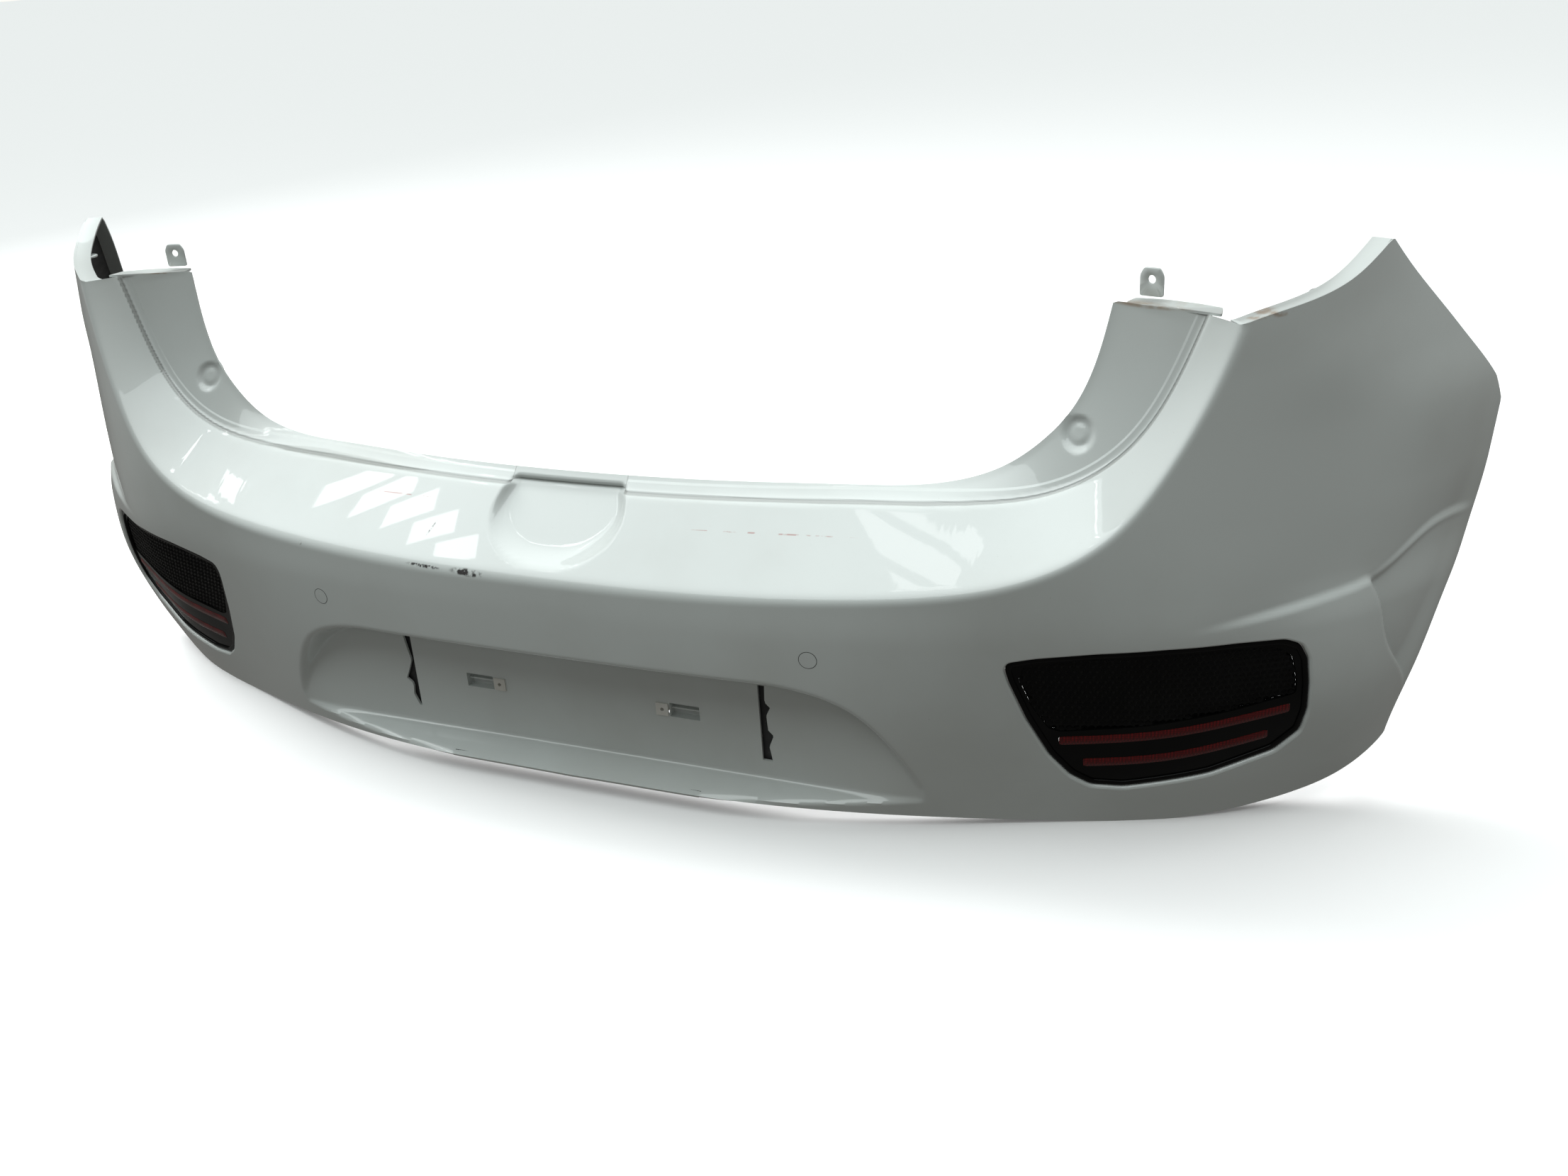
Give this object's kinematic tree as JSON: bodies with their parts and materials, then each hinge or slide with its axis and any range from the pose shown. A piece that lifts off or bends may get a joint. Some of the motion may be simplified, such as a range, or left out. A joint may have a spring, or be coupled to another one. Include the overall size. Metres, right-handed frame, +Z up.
{
  "type": "rear bumper cover",
  "caption": "Painted moulded rear bumper cover with pillars, plate recess, corner openings holding bezels with mesh and red lenses, parking sensors and lamp housings behind.",
  "frame": {"origin": "under the middle of the cover's bounding box, on the surface it stands on", "axes": "+X across the car, +Y from the outer rear face towards the car, +Z up"},
  "size_m": [1.8248, 0.4029, 0.5875],
  "materials": {
    "white_paint": "gloss clear coat over white",
    "gloss_black": "gloss",
    "satin_black": "satin",
    "red_lens": "gloss",
    "grey_plastic": "matte",
    "black_plastic": "matte",
    "black_rubber": "matte",
    "bulb_glass": "clear",
    "zinc_steel": "zinc plated",
    "sensor_white": "gloss",
    "ring_black": "satin",
    "natural_nylon": "satin"
  },
  "bodies": {
    "cover": {"bumper_cover": "white_paint", "fog_bezel_right": "gloss_black", "fog_bezel_left": "gloss_black", "mesh_insert_right": "satin_black", "mesh_insert_left": "satin_black", "upper_reflector_right": "red_lens", "upper_reflector_left": "red_lens", "lower_reflector_right": "red_lens", "lower_reflector_left": "red_lens", "lamp_housing_right": "grey_plastic", "lamp_housing_left": "grey_plastic", "lamp_screws_right": "zinc_steel", "lamp_screws_left": "zinc_steel", "sensor_body_right": "sensor_white", "sensor_body_left": "sensor_white", "sensor_ring_right": "ring_black", "sensor_ring_left": "ring_black", "sensor_bracket_right": "black_plastic", "sensor_bracket_left": "black_plastic", "plate_nut_right": "natural_nylon", "plate_nut_left": "natural_nylon"},
    "socket_right": {"bulb_socket_right": "black_plastic", "socket_gasket_right": "black_rubber", "fog_bulb_right": "bulb_glass"},
    "socket_left": {"bulb_socket_left": "black_plastic", "socket_gasket_left": "black_rubber", "fog_bulb_left": "bulb_glass"}
  },
  "joints": [
    {"name": "socket_turn_right", "type": "hinge", "parent": "cover", "child": "socket_right", "pos_m": [0.62396, -0.03846, 0.113], "axis": [-0.4384, 0.8988, 0], "range_deg": [0, 40]},
    {"name": "socket_turn_left", "type": "hinge", "parent": "cover", "child": "socket_left", "pos_m": [-0.62396, -0.03846, 0.113], "axis": [0.4384, 0.8988, 0], "range_deg": [-40, 0]}
  ]
}
